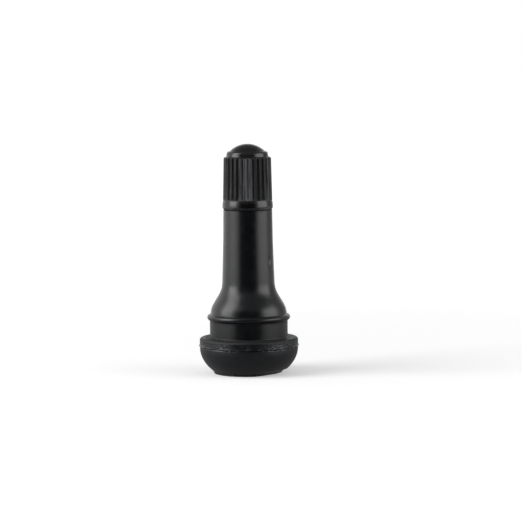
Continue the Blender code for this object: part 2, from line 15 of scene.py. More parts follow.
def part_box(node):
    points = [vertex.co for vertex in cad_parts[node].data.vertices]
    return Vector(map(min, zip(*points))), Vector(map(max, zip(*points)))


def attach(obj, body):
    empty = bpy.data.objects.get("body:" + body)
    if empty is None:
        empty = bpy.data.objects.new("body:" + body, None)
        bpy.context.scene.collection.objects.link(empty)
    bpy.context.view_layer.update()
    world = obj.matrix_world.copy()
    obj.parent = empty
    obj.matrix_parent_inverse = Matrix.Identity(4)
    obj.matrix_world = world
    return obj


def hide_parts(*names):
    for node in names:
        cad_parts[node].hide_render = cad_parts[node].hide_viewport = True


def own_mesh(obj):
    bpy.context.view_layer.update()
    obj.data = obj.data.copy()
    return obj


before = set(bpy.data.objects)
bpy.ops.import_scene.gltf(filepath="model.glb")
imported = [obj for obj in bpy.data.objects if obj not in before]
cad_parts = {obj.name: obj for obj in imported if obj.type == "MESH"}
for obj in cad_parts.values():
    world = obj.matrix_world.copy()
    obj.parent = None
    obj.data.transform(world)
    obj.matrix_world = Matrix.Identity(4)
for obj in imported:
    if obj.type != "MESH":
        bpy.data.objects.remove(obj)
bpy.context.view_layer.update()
STEM_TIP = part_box("stem_insert")[1].z
CAP_FOOT, CAP_APEX = (corner.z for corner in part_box("cap"))
RUBBER_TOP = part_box("rubber_body")[1].z
PLUG_FOOT, PLUG_TOP = (corner.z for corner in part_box("core_plug"))

MM = 0.001
WELD = 0.0005 * MM
MERGE = WELD / 10
SHARP_ANGLE = math.radians(38)
CORNER_ANGLE = math.radians(35)
EDGE = 0.04 * MM
CAP_EDGE = 0.03 * MM

# How finely the outlines are stepped, and how many steps each kind of piece has round
HIDDEN_ROW = 1.5 * MM
PLAIN_ROW = 0.32 * MM
BULB_ROW = 0.14 * MM
RIM_ROW = 0.11 * MM
NECK_ROW = 0.35 * MM
STEM_ROW = 1.0 * MM
THREAD_ROW = 0.066 * MM
RING_ROW = 0.3 * MM
BORE_ROW = 0.1 * MM
RUN_OUT_ROW = 0.08 * MM
CROWN_ROW = 0.1 * MM
GRIP_ROW = 0.5 * MM
RUBBER_SEGMENTS = 320
STEM_SEGMENTS = 144
PLUG_SEGMENTS = 96
RING_SEGMENTS = 72

# Levels and radii of the rubber body's forms
BASE_R = 9.55 * MM
FLASH_HEIGHT = 5.43 * MM
FLASH_PROUD = 0.2 * MM
LEDGE_HEIGHT = 7.0 * MM
GROOVE_TOP = 10.3 * MM
BELL_FOOT = 11.55 * MM
LIP_R = 3.95 * MM
LIP_WIDTH = 0.3 * MM
LIP_HEIGHT = 0.2 * MM
CAVITY_R = 4.2 * MM  # what lies inside this radius between the two levels is hidden
CAVITY_FOOT = 1.0 * MM
CAVITY_TOP = RUBBER_TOP - 0.1 * MM

# Its moulding marks and wear
WAVE = 0.012 * MM
FLASH_WANDER = 0.09 * MM
GASH_BELOW = 0.16 * MM
GASH_WIDTH = 0.09 * MM
RIM_PITS = 0.035 * MM
BULB_TRIM = 0.2 * MM
RIDGE_SWELL = 0.08 * MM
RIDGE_HEIGHT = 11.0 * MM
RIDGE_WIDTH = 0.45 * MM
CREASE_DEPTH = 0.03 * MM
CREASE_WIDTH = 0.06 * MM
TOP_RISE = 0.08 * MM
NECK_TOP_R = 4.75 * MM
NECK_SWELL = 0.06 * MM
NICK_ANGLE = math.radians(-32)
NICK_HEIGHT = 22.3 * MM
NICK_DEPTH = 0.32 * MM
NICK_WIDTH = 0.25 * MM
NICK_LENGTH = 0.9 * MM
FOOT_R = 6.0 * MM
FOOT_EDGE_R = 7.0 * MM
FOOT_BAND = 0.7 * MM
FOOT_RAGGED = 0.09 * MM
FOOT_TRIM = 0.06 * MM
CUT_R = 4.9 * MM
CUT_WIDTH = 1.6 * MM
CUT_HEIGHT = 0.95 * MM
CUT_DEPTH = 0.25 * MM
CUT_RISE = 0.22 * MM

# Stem tip and its thread
THREAD_PITCH = 0.79375 * MM
THREAD_R = 3.6 * MM
THREAD_ROOT_R = 3.42 * MM
THREAD_CREST_R = 3.875 * MM
THREAD_START = 31.8 * MM
THREAD_RUN_IN = 0.6 * MM
THREAD_GAP = 0.08 * MM
THREAD_FLANK = math.radians(30)
CREST_LAND = 0.12 * MM
NOSE_R = 3.2 * MM
NOSE_LENGTH = 0.7 * MM

# Valve core
CORE_PITCH = 0.7056 * MM
CORE_THREAD_R = 2.65 * MM
CORE_ROOT_R = 2.25 * MM
CORE_CREST_R = 2.5 * MM
CORE_RUN_IN = 0.5 * MM
STEM_WALL_R = (NOSE_R + CORE_THREAD_R) / 2
PLUG_R = 2.35 * MM
PLUG_THREADED_R = PLUG_R - 0.1 * MM
BRIDGE_HEIGHT = 1.6 * MM
BRIDGE_WIDTH = 2.7 * MM
SPRING_WIRE_R = 0.12 * MM
SPRING_TURNS = 8
SPRING_CLOSED_PITCH = 0.31 * MM
SPRING_SIDES = 10
SPRING_STEPS = 36

# Cap, as in its solid
CAP_BORE_R = 3.9 * MM
BORE_SLACK = 0.05 * MM
CAP_R = 4.6 * MM
CAP_DRAFT = 0.17 * MM
SKIRT_HEIGHT = 1.75 * MM
SKIRT_WIDEST = 0.6 * MM
SKIRT_PROUD = 0.15 * MM
SKIRT_EDGE = 0.3 * MM
SKIRT_SWELL = 0.035 * MM
SKIRT_ROUNDING = 0.055 * MM
LEAD_IN = 0.4 * MM
RIB_TOP_CHAMFER = 0.15 * MM
RIB_TOP_BEVEL = 0.22 * MM
CROWN_HEIGHT = 1.17 * MM
CROWN_R = 4.01 * MM
CROWN_FLARE = 0.08 * MM
CROWN_EDGE_R = 0.5 * MM
DOME_RISE = 1.43 * MM
DOME_R = 3.43 * MM
CAVITY_WALL_R = 3.35 * MM
CEILING_WALL = 0.52 * MM
RECESS_R = 1.8 * MM
RECESS_DEPTH = 0.7 * MM
FLUTES = 28
FLUTE_HALF_WIDTH = 0.27 * MM
FLUTE_DEPTH = 0.36 * MM
FLUTE_RUN_OUT = 0.8 * MM
FLUTE_EXIT = 0.8 * MM
FLUTE_TURN = math.radians(1.2)
FLUTE_PLACES = (-1, -0.9, -0.78, -0.62, -0.42, -0.2, 0, 0.2, 0.42, 0.62, 0.78, 0.9, 1)
WORN_ANGLE = -0.06
WORN_SPAN = 0.2
WORN_SHARE = 0.5
SKIRT_TOP = CAP_FOOT + SKIRT_HEIGHT
DOME_FOOT = CAP_APEX - DOME_RISE
RIB_TOP = DOME_FOOT - CROWN_HEIGHT

# Colours, and of the metals and gaskets their darker colour and roughness too
RUBBER_DARK = (0.0018, 0.0023, 0.0034)
RUBBER_PALE = (0.0044, 0.0053, 0.0074)
# pale specks on the rim, and the painted sheen at the ledge's ends
RUBBER_SPECKS_AND_SHEEN = (0.16, 0.168, 0.185)
PLASTIC_DARK = (0.003, 0.003, 0.0034)
# scuffing on the grip, and its painted highlights and sheen
PLASTIC_SCUFF_AND_SHEEN = (0.085, 0.087, 0.091)
STEM_BRASS = ((0.72, 0.53, 0.25), (0.5, 0.34, 0.14), 0.26)
CORE_BRASS = ((0.74, 0.56, 0.3), (0.55, 0.4, 0.2), 0.22)
PIN_BRASS = ((0.7, 0.55, 0.32), (0.5, 0.38, 0.2), 0.24)
SPRING_STEEL = ((0.55, 0.55, 0.56), (0.4, 0.4, 0.42), 0.25)
GASKET_WHITE = ((0.75, 0.74, 0.7), (0.66, 0.65, 0.6), 0.45)
SEAL_RUBBER = ((0.03, 0.03, 0.032), (0.018, 0.018, 0.02), 0.6)

# Camera and studio
CAMERA_PLACE = (0.00247664, -0.54574863, 0.07144)
CAMERA_TILT = math.radians(84.8)
CAMERA_ROLL = math.radians(-0.5)
CAMERA_LENS = 194.9
CAMERA_SENSOR = 36.0
FLOOR_R = 1.2
FLOOR_DROP = 0.02 * MM
FLOOR_COLOUR = (0.85, 0.85, 0.85, 1.0)
FLOOR_NEAR = 0.01
FLOOR_FAR = 0.35
GLOW_NEAR = 0.34
GLOW_FAR = 0.75
WORLD_FILL = 0.35
SOFTBOX_AWAY = 0.32
AIM_HEIGHT = 0.02
FLOOR_SIDES = 96
PANEL_SIDES = 64
FLAG_STEPS = 24


def outline_of(node):
    """A turned node's (r, z) outline, read in the half plane through +X, and whether it closes."""
    work = bmesh.new()
    work.from_mesh(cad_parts[node].data)
    bmesh.ops.remove_doubles(work, verts=work.verts, dist=WELD)
    work.verts.index_update()
    places, links = {}, {}
    for edge in work.edges:
        ends = [v for v in edge.verts if abs(v.co.y) < WELD and v.co.x > -WELD]
        if len(ends) == 2:
            for here, there in (ends, ends[::-1]):
                places[here.index] = Vector((max(here.co.x, 0.0), here.co.z))
                links.setdefault(here.index, []).append(there.index)
    work.free()
    tips = [i for i in links if len(links[i]) == 1]
    path = []
    here = tips[0] if tips else min(links, key=lambda i: tuple(places[i]))
    while here is not None:
        path.append(here)
        ahead = [i for i in links[here] if i not in path]
        here = ahead[0] if ahead else None
    points = [places[i] for i in path]
    if tips and points[0].x > WELD:
        points.insert(0, Vector((0.0, points[0].y)))
    if tips and points[-1].x > WELD:
        points.append(Vector((0.0, points[-1].y)))
    pairs = zip(points, points[1:] + points[:1])
    area = sum(a.x * b.y - b.x * a.y for a, b in pairs)
    return (points if area > 0 else points[::-1]), not tips


def arc(centre_r, centre_z, radius, start, end, steps):
    """Points on an arc in the (r, z) plane, with its angles in degrees from the +r direction."""
    points = []
    for i in range(steps + 1):
        angle = math.radians(start + (end - start) * i / steps)
        r, z = centre_r + radius * math.cos(angle), centre_z + radius * math.sin(angle)
        points.append(Vector((r, z)))
    return points


def bulge(first, last, height, steps):
    """Points of the arc from first to last that stands out by height on the right of that line."""
    first, last = Vector(first), Vector(last)
    chord = last - first
    half = chord.length / 2
    radius = (half * half + height * height) / (2 * height)
    outward = Vector((chord.y, -chord.x)).normalized()
    centre = (first + last) / 2 - outward * (radius - height)
    sweep = math.asin(half / radius)
    middle = math.atan2(outward.y, outward.x)
    angles = [middle + sweep * (2 * i / steps - 1) for i in range(steps + 1)]
    return [centre + radius * Vector((math.cos(a), math.sin(a))) for a in angles]


def smooth_run(points, spacing):
    """A dense curve through the points between two corners."""
    count = len(points)
    gaps = [(b - a).length for a, b in zip(points, points[1:])]
    slopes = [(b - a) / g for a, b, g in zip(points, points[1:], gaps)]
    tangents = [slopes[0]]
    for i in range(1, count - 1):
        share = gaps[i - 1] / (gaps[i - 1] + gaps[i])
        if min(share, 1 - share) < 0.25:
            share = round(1 - share)
        tangents.append(slopes[i - 1] * (1 - share) + slopes[i] * share)
    tangents.append(slopes[-1])
    if count > 2:
        tangents[0] = (3 * slopes[0] - tangents[1]) / 2
        tangents[-1] = (3 * slopes[-1] - tangents[-2]) / 2
    dense = [points[0]]
    for i in range(count - 1):
        middle = (points[i] + points[i + 1]) / 2
        steps = max(1, math.ceil(gaps[i] / spacing(middle.x, middle.y)))
        for s in range(1, steps + 1):
            t = s / steps
            start = points[i] * (2 * t**3 - 3 * t**2 + 1)
            start += tangents[i] * gaps[i] * (t**3 - 2 * t**2 + t)
            end = points[i + 1] * (3 * t**2 - 2 * t**3)
            end += tangents[i + 1] * gaps[i] * (t**3 - t**2)
            dense.append(start + end)
    return dense


def refined(points, closed, spacing, edge=EDGE, hidden=None):
    """An outline with dense curved stretches and rounded corners, but for its hidden ones."""
    count = len(points)
    corners = []
    for i in range(count):
        before, here, after = points[i - 1], points[i], points[(i + 1) % count]
        ends = not closed and i in (0, count - 1)
        if ends or (here - before).angle(after - here) > CORNER_ANGLE:
            corners.append(i)
    first = corners[0]
    loop = [points[(first + i) % count] for i in range(count + 1)] if closed else list(points)
    marks = [(c - first) % count for c in corners] + ([count] if closed else [])
    dense, sharp = [], []
    for a, b in zip(marks, marks[1:]):
        run = smooth_run(loop[a : b + 1], spacing)
        sharp += [True] + [False] * (len(run) - 2)
        dense += run[:-1]
    if not closed:
        dense.append(loop[-1])
        sharp.append(True)
    rounded = []
    for i, here in enumerate(dense):
        inner = closed or 0 < i < len(dense) - 1
        if not (sharp[i] and inner) or (hidden and hidden(here.x, here.y)):
            rounded.append(here)
            continue
        back = dense[i - 1] - here
        ahead = dense[(i + 1) % len(dense)] - here
        start = here + back * min(edge / back.length, 0.45)
        end = here + ahead * min(edge / ahead.length, 0.45)
        for t in (0.0, 0.25, 0.5, 0.75, 1.0):
            rounded.append(start * (1 - t) ** 2 + here * 2 * t * (1 - t) + end * t**2)
    return rounded


def even_angles(segments):
    return [math.tau * j / segments for j in range(segments)]


def add_object(name, data):
    thing = bpy.data.objects.new(name, data)
    bpy.context.scene.collection.objects.link(thing)
    return thing


def smooth_piece(name, mesh):
    """A piece that is shaded smooth except at its sharp edges."""
    mesh.shade_smooth()
    mesh.set_sharp_from_angle(angle=SHARP_ANGLE)
    return add_object(name, mesh)


def turned(name, rows, closed, angles, shape=None):
    """A piece turned about Z from (r, z) rows. shape(angle, r, z) moves a row's point."""
    verts, rings = [], []
    for r, z in rows:
        if r < WELD:
            rings.append([len(verts)] * len(angles))
            verts.append((0.0, 0.0, z))
            continue
        rings.append(list(range(len(verts), len(verts) + len(angles))))
        for angle in angles:
            radius, height = shape(angle, r, z) if shape else (r, z)
            verts.append((radius * math.cos(angle), radius * math.sin(angle), height))
    faces = []
    last = rings[:1] if closed else []
    for lower, upper in zip(rings, rings[1:] + last):
        for j in range(len(angles)):
            e = (j + 1) % len(angles)
            corners = dict.fromkeys((lower[j], lower[e], upper[e], upper[j]))
            faces.append(tuple(corners))
    mesh = bpy.data.meshes.new(name)
    mesh.from_pydata(verts, [], faces)
    work = bmesh.new()
    work.from_mesh(mesh)
    bmesh.ops.remove_doubles(work, verts=work.verts, dist=MERGE)
    work.to_mesh(mesh)
    work.free()
    return smooth_piece(name, mesh)


def dress(piece, node, body, material):
    """Gives a piece its material and slot, and sets it in a node's place on its body."""
    piece.data.materials.clear()
    piece.data.materials.append(material)
    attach(piece, body)
    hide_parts(node)
    return piece


def smoothstep(low, high, value):
    t = min(max((value - low) / (high - low), 0.0), 1.0)
    return t * t * (3 - 2 * t)


def between(value, start, full, last, end):
    """1 from full to last, with soft edges that begin at start and stop at end."""
    return smoothstep(start, full, value) * (1 - smoothstep(last, end, value))


def bump_at(value, centre, width):
    """A smooth bump of height 1 round a centre."""
    return math.exp(-(((value - centre) / width) ** 2))


def ripple(angle, r, z, size, seed=0.0):
    """Smooth noise from -1 to 1 at a surface point, with features of about the given size."""
    place = Vector((r * math.cos(angle), r * math.sin(angle), z)) / size
    return noise.noise(place + Vector((seed, seed * 1.7, seed * 2.3)))


def thread_radius(angle, z, pitch, root, crest):
    """The radius of a right-hand thread."""
    phase = (z / pitch - angle / math.tau) % 1.0
    from_crest = abs(phase - 0.5) * pitch - CREST_LAND / 2
    flank = (crest - root) * math.tan(THREAD_FLANK)
    return crest - (crest - root) * min(max(from_crest / flank, 0.0), 1.0)


# Materials


def node_material(name, colour, roughness, metallic=0.0):
    material = bpy.data.materials.new(name)
    material.use_nodes = True
    tree = material.node_tree
    shader = tree.nodes["Principled BSDF"]
    shader.inputs["Base Color"].default_value = (*colour, 1.0)
    shader.inputs["Roughness"].default_value = roughness
    shader.inputs["Metallic"].default_value = metallic
    place = tree.nodes.new("ShaderNodeTexCoord").outputs["Object"]
    return material, tree, shader, place


def speckle(tree, place, size, detail=3.0, rough=0.55):
    """Noise from 0 to 1 with features of about the given size in metres."""
    texture = tree.nodes.new("ShaderNodeTexNoise")
    texture.inputs["Scale"].default_value = 1.0 / size
    texture.inputs["Detail"].default_value = detail
    texture.inputs["Roughness"].default_value = rough
    tree.links.new(place, texture.inputs["Vector"])
    return texture.outputs["Fac"]


def remap(tree, value, low, high, to_low=0.0, to_high=1.0):
    """Maps a value between two limits, smoothly, to two others."""
    ramp = tree.nodes.new("ShaderNodeMapRange")
    ramp.interpolation_type = "SMOOTHSTEP"
    limits = {"From Min": low, "From Max": high, "To Min": to_low, "To Max": to_high}
    for key, number in limits.items():
        ramp.inputs[key].default_value = number
    tree.links.new(value, ramp.inputs["Value"])
    return ramp.outputs["Result"]


def math_node(tree, operation, *values):
    """Combines two or more values, one after another: their sum, product or largest."""
    result = values[0]
    for value in values[1:]:
        node = tree.nodes.new("ShaderNodeMath")
        node.operation = operation
        for socket, item in zip(node.inputs, (result, value)):
            if isinstance(item, (int, float)):
                socket.default_value = item
            else:
                tree.links.new(item, socket)
        result = node.outputs[0]
    return result


def absolute(tree, value):
    return math_node(tree, "ABSOLUTE", value, 0.0)


def band(tree, value, start, full, last, end):
    """1 from full to last, with soft edges that begin at start and stop at end."""
    rise, fall = remap(tree, value, start, full), remap(tree, value, end, last)
    return math_node(tree, "MULTIPLY", rise, fall)


def stretched(tree, place, scale):
    """A place with its X, Y and Z scaled."""
    node = tree.nodes.new("ShaderNodeVectorMath")
    node.operation = "MULTIPLY"
    node.inputs[1].default_value = scale
    tree.links.new(place, node.inputs[0])
    return node.outputs[0]


def length_of(tree, place):
    node = tree.nodes.new("ShaderNodeVectorMath")
    node.operation = "LENGTH"
    tree.links.new(place, node.inputs[0])
    return node.outputs["Value"]


def coordinates(tree, place):
    """The X, Y and Z of a place."""
    split = tree.nodes.new("ShaderNodeSeparateXYZ")
    tree.links.new(place, split.inputs["Vector"])
    return split.outputs["X"], split.outputs["Y"], split.outputs["Z"]


def blend_colour(tree, share, first, second):
    """Blends two colours, of which the first may be an output."""
    mix = tree.nodes.new("ShaderNodeMix")
    mix.data_type = "RGBA"
    if isinstance(first, tuple):
        mix.inputs["A"].default_value = (*first, 1.0)
    else:
        tree.links.new(first, mix.inputs["A"])
    mix.inputs["B"].default_value = (*second, 1.0)
    tree.links.new(share, mix.inputs["Factor"])
    return mix.outputs["Result"]


def add_bump(tree, shader, height, distance):
    bump = tree.nodes.new("ShaderNodeBump")
    bump.inputs["Distance"].default_value = distance
    tree.links.new(height, bump.inputs["Height"])
    tree.links.new(bump.outputs["Normal"], shader.inputs["Normal"])


def body_rubber():
    """Moulded black rubber: satin, mottled, with pale specks on the rim, a painted sheen at the
    ledge's two ends and painted shade along the foot's lower edge, rougher on the bulb.
    """
    material, tree, shader, place = node_material("body_rubber", (0.006, 0.006, 0.0066), 0.4)
    x, _, height = coordinates(tree, place)
    mottle = speckle(tree, place, 1.4 * MM, 4.0)
    fine = speckle(tree, place, 0.16 * MM, 2.0)

    mottled = remap(tree, mottle, 0.35, 0.7, 0.2, 1.0)
    paler_base = remap(tree, height, 7.2 * MM, 6.2 * MM, 0.35, 1.35)
    # Painted shade: darker along the foot's lower edge, where it meets the floor.
    foot_painted_shade = remap(tree, height, 0.4 * MM, 0.15 * MM, 1.0, 0.25)
    shade = math_node(tree, "MULTIPLY", mottled, paler_base, foot_painted_shade)
    rubber = blend_colour(tree, shade, RUBBER_DARK, RUBBER_PALE)

    # Pale specks in a band just above the flash.
    pale_specks = math_node(
        tree,
        "MULTIPLY",
        remap(tree, speckle(tree, place, 0.32 * MM, 2.0), 0.54, 0.68),
        remap(tree, speckle(tree, place, 2.4 * MM, 1.0), 0.42, 0.62, 0.25, 1.0),
        band(tree, height, 5.42 * MM, 5.55 * MM, 5.7 * MM, 6.4 * MM),
    )
    # Painted sheen: pale and speckled at the ledge's ends towards -X and +X.
    off_centre = absolute(tree, math_node(tree, "ADD", x, 0.5 * MM))
    ledge_ends_painted_sheen = math_node(
        tree,
        "MULTIPLY",
        remap(tree, off_centre, 7.5 * MM, 8.3 * MM),
        band(tree, height, 6.93 * MM, 6.99 * MM, 7.1 * MM, 7.3 * MM),
        remap(tree, speckle(tree, place, 0.5 * MM, 2.0), 0.4, 0.6, 0.2, 1.2),
    )
    # The pale specks and the painted sheen, in one colour.
    specks_and_painted_sheen = math_node(tree, "MAXIMUM", pale_specks, ledge_ends_painted_sheen)
    tree.links.new(blend_colour(tree, specks_and_painted_sheen, rubber, RUBBER_SPECKS_AND_SHEEN), shader.inputs["Base Color"])

    ledge = band(tree, height, 6.4 * MM, 6.65 * MM, 7.1 * MM, 7.25 * MM)
    rough = math_node(
        tree,
        "ADD",
        remap(tree, mottle, 0.3, 0.7, 0.28, 0.34),
        remap(tree, height, 5.6 * MM, 5.2 * MM, 0.0, 0.1),
        math_node(tree, "MULTIPLY", ledge, 0.32),
    )
    tree.links.new(rough, shader.inputs["Roughness"])
    relief = math_node(tree, "ADD", fine, math_node(tree, "MULTIPLY", mottle, 1.2))
    relief = math_node(tree, "MULTIPLY", relief, remap(tree, height, 7.3 * MM, 6.9 * MM, 0.45, 1.0))
    add_bump(tree, shader, relief, 0.003 * MM)
    return material


def cap_plastic():
    """Black plastic: polished but for the grip, which is matt and has scuffed rib tops, a painted
    highlight in front and painted sheen on its flanks; the chipped foot is partly painted highlight.
    """
    material, tree, shader, place = node_material("cap_plastic", (0.005, 0.005, 0.0056), 0.25)
    x, y, height = coordinates(tree, place)
    mottle = speckle(tree, place, 0.9 * MM)
    fine = speckle(tree, place, 0.1 * MM, 2.0)
    grip = band(tree, height, SKIRT_TOP, SKIRT_TOP + 0.3 * MM, RIB_TOP - 0.2 * MM, RIB_TOP)
    foot = remap(tree, height, CAP_FOOT + 0.6 * MM, CAP_FOOT + 0.42 * MM)
    rough = math_node(
        tree,
        "ADD",
        remap(tree, mottle, 0.3, 0.7, 0.19, 0.26),
        math_node(tree, "MULTIPLY", grip, 0.74),
        math_node(tree, "MULTIPLY", foot, 0.4),
    )
    tree.links.new(rough, shader.inputs["Roughness"])

    # the grip's scuffing and painted light: a painted highlight in front, painted sheen on both
    # sides, and scuffed patches round the cap
    lengthwise = stretched(tree, place, (1.0, 1.0, 0.06))
    patches = remap(tree, speckle(tree, lengthwise, 2.6 * MM, 1.0), 0.56, 0.66, 0.0, 0.45)
    off_middle = absolute(tree, math_node(tree, "ADD", x, 0.2 * MM))
    # Painted highlight: a paler patch on the front of the grip, towards -Y.
    middle = remap(tree, off_middle, 0.8 * MM, 2.0 * MM, 1.0, 0.0)
    facing = remap(tree, y, -3.0 * MM, -2.0 * MM, 1.0, 0.0)
    front = math_node(tree, "MULTIPLY", middle, facing)
    # Painted sheen: paler on the grip's flanks towards -X and +X.
    left_painted_sheen = remap(tree, x, -3.7 * MM, -4.2 * MM, 0.0, 0.8)
    right_painted_sheen = remap(tree, x, 3.15 * MM, 3.75 * MM)
    # Scuffed patches with the painted highlight and the painted sheen.
    grip_marks_and_painted_light = math_node(tree, "MAXIMUM", patches, front, left_painted_sheen, right_painted_sheen, 0.25)
    streaks = remap(tree, speckle(tree, lengthwise, 0.24 * MM, 2.0), 0.35, 0.65, 0.3, 1.0)
    radius = length_of(tree, stretched(tree, place, (1.0, 1.0, 0.0)))
    rib_tops = remap(tree, radius, 4.38 * MM, 4.56 * MM, 0.15, 1.0)
    scuffing_and_painted_light = math_node(tree, "MULTIPLY", grip_marks_and_painted_light, streaks, rib_tops, grip)

    # Chipped foot, partly real chipping and partly painted highlight: faint in front and full
    # towards the sides.
    chipped = remap(tree, mottle, 0.4, 0.6, 0.0, 0.55)
    beside = remap(tree, off_middle, 1.4 * MM, 2.6 * MM, 0.1, 1.0)
    chipping_and_painted_highlight = math_node(tree, "MULTIPLY", foot, chipped, beside)
    # The grip's scuffing and the foot's chipping, with their painted light.
    pale_marks_and_painted_light = math_node(tree, "MAXIMUM", scuffing_and_painted_light, chipping_and_painted_highlight)
    shade = blend_colour(tree, pale_marks_and_painted_light, PLASTIC_DARK, PLASTIC_SCUFF_AND_SHEEN)
    tree.links.new(shade, shader.inputs["Base Color"])
    add_bump(tree, shader, fine, 0.003 * MM)
    return material


def turned_metal(name, colour, dark, roughness):
    """Turned metal with fine tool rings and a slight tarnish."""
    material, tree, shader, place = node_material(name, colour, roughness, 1.0)
    tarnish = speckle(tree, place, 1.1 * MM)
    shade = blend_colour(tree, remap(tree, tarnish, 0.45, 0.75), colour, dark)
    tree.links.new(shade, shader.inputs["Base Color"])
    rough = remap(tree, tarnish, 0.3, 0.7, roughness, roughness + 0.12)
    tree.links.new(rough, shader.inputs["Roughness"])
    rings = tree.nodes.new("ShaderNodeTexWave")
    rings.bands_direction = "Z"
    rings.inputs["Scale"].default_value = 1.0 / (0.35 * MM)
    rings.inputs["Distortion"].default_value = 0.6
    tree.links.new(place, rings.inputs["Vector"])
    add_bump(tree, shader, rings.outputs["Fac"], 0.0015 * MM)
    return material


def soft_material(name, light, dark, roughness, size):
    """A matt moulded ring or gasket."""
    material, tree, shader, place = node_material(name, light, roughness)
    mottle = speckle(tree, place, size)
    tree.links.new(blend_colour(tree, mottle, dark, light), shader.inputs["Base Color"])
    rough = remap(tree, mottle, 0.3, 0.7, roughness - 0.06, roughness + 0.06)
    tree.links.new(rough, shader.inputs["Roughness"])
    add_bump(tree, shader, mottle, 0.006 * MM)
    return material


# Pieces


def in_cavity(r, z):
    """Whether a point of the rubber's outline is hidden round the stem."""
    return r < CAVITY_R and CAVITY_FOOT < z < CAVITY_TOP


def flash_detail(angle, tip, z):
    """The flash line, torn here and there but full at the two sides. The tip goes from 0 to 1."""
    wander = ripple(angle, BASE_R, 0.0, size=0.9 * MM, seed=3.0)
    nick = max(0.0, ripple(angle, BASE_R, 0.0, size=0.35 * MM, seed=7.0) - 0.15)
    side = smoothstep(0.92, 0.98, abs(math.cos(angle)))
    torn = max(min(0.1 + 0.6 * wander + 2.2 * nick, 0.95), 0.0) * (1 - side)
    r = BASE_R + FLASH_PROUD * tip ** (1 - 0.6 * side) * (1 - torn)
    return r, z + FLASH_WANDER * tip * ripple(angle, BASE_R, 0.0, size=0.7 * MM, seed=11.0)


def base_detail(angle, r, z):
    """The gash under the flash, the pitted rim, the slimmer bulb and the fuller ridge."""
    gash = max(0.07 + 0.22 * ripple(angle, BASE_R, 0.0, size=0.6 * MM, seed=19.0), 0.0)
    r -= gash * MM * bump_at(z, FLASH_HEIGHT - GASH_BELOW, GASH_WIDTH)
    rim = between(z, FLASH_HEIGHT, FLASH_HEIGHT + 0.3 * MM, LEDGE_HEIGHT - 0.5 * MM, LEDGE_HEIGHT)
    r += rim * RIM_PITS * ripple(angle, r, z, size=0.35 * MM, seed=5.0)
    r -= BULB_TRIM * (1 - smoothstep(0.6 * MM, 4.6 * MM, z)) * smoothstep(0.2 * MM, 0.9 * MM, z)
    r += RIDGE_SWELL * bump_at(z, RIDGE_HEIGHT, RIDGE_WIDTH)
    return r - CREASE_DEPTH * bump_at(z, BELL_FOOT, CREASE_WIDTH)


def neck_detail(angle, r, z):
    """The neck's slight swell, its crisp top edge and its nick."""
    r += NECK_SWELL * smoothstep(BELL_FOOT, BELL_FOOT + 1.5 * MM, z)
    edge = smoothstep(RUBBER_TOP - 0.25 * MM, RUBBER_TOP - 0.08 * MM, z)
    r += (NECK_TOP_R - r) * edge * smoothstep(4.3 * MM, 4.48 * MM, r)
    z += TOP_RISE * smoothstep(RUBBER_TOP - 0.5 * MM, RUBBER_TOP - 0.1 * MM, z)
    away = (angle - NICK_ANGLE + math.pi) % math.tau - math.pi
    r -= NICK_DEPTH * bump_at(away * r, 0.0, NICK_WIDTH) * bump_at(z, NICK_HEIGHT, NICK_LENGTH)
    return r, z


def foot_detail(angle, r, z):
    """The foot's uneven edge and the piece that is cut off it on the +X side."""
    foot = 1 - smoothstep(0.0, FOOT_BAND, z)
    if foot and r > FOOT_R:
        rough = ripple(angle, FOOT_EDGE_R, 0.0, size=1.1 * MM, seed=13.0)
        rough += 1.3 * ripple(angle, FOOT_EDGE_R, 0.0, size=0.4 * MM, seed=17.0)
        r += foot * (FOOT_RAGGED * rough - FOOT_TRIM * math.cos(angle))
    if z < CUT_HEIGHT and r > CUT_R:
        cut = smoothstep(0.0, 0.8, math.cos(angle)) * min((r - CUT_R) / CUT_WIDTH, 1.0)
        cut *= 1 - (z / CUT_HEIGHT) ** 2
        r -= CUT_DEPTH * cut
        z += CUT_RISE * cut
    return r, z


def rubber_detail(angle, r, z):
    """Moulding marks and damage of the rubber."""
    if in_cavity(r, z):
        return r, z
    r += WAVE * ripple(angle, r, z, size=4.0 * MM)
    tip = min(max((r - BASE_R) / FLASH_PROUD, 0.0), 1.0)
    if tip and abs(z - FLASH_HEIGHT) < FLASH_PROUD:
        r, z = flash_detail(angle, tip, z)
    if r > BASE_R / 2:
        r = base_detail(angle, r, z)
    if r > LIP_R + LIP_WIDTH:
        r, z = neck_detail(angle, r, z)
    return foot_detail(angle, r, z)


def make_rubber(material):
    """The rubber body, with a lip round the stem."""
    points, closed = outline_of("rubber_body")

    def spacing(r, z):
        if in_cavity(r, z):
            return HIDDEN_ROW
        if z < WELD or LEDGE_HEIGHT + 0.2 * MM < z < GROOVE_TOP - 0.2 * MM:
            return PLAIN_ROW
        if MM < z < FLASH_HEIGHT - 0.4 * MM:
            return BULB_ROW
        return RIM_ROW if z < BELL_FOOT + 0.5 * MM else NECK_ROW

    lip_foot = Vector((THREAD_CREST_R, RUBBER_TOP))
    at = min(range(len(points)), key=lambda i: (points[i] - lip_foot).length)
    lip = ((LIP_R + LIP_WIDTH, 0.0), (LIP_R + LIP_WIDTH / 2, LIP_HEIGHT), (LIP_R, 0.0))
    points[at:at] = [Vector((r, RUBBER_TOP + rise)) for r, rise in lip]
    rows = refined(points, closed, spacing, hidden=in_cavity)
    angles = even_angles(RUBBER_SEGMENTS)
    piece = turned("rubber_moulding", rows, closed, angles, rubber_detail)
    dress(piece, "rubber_body", "valve", material)


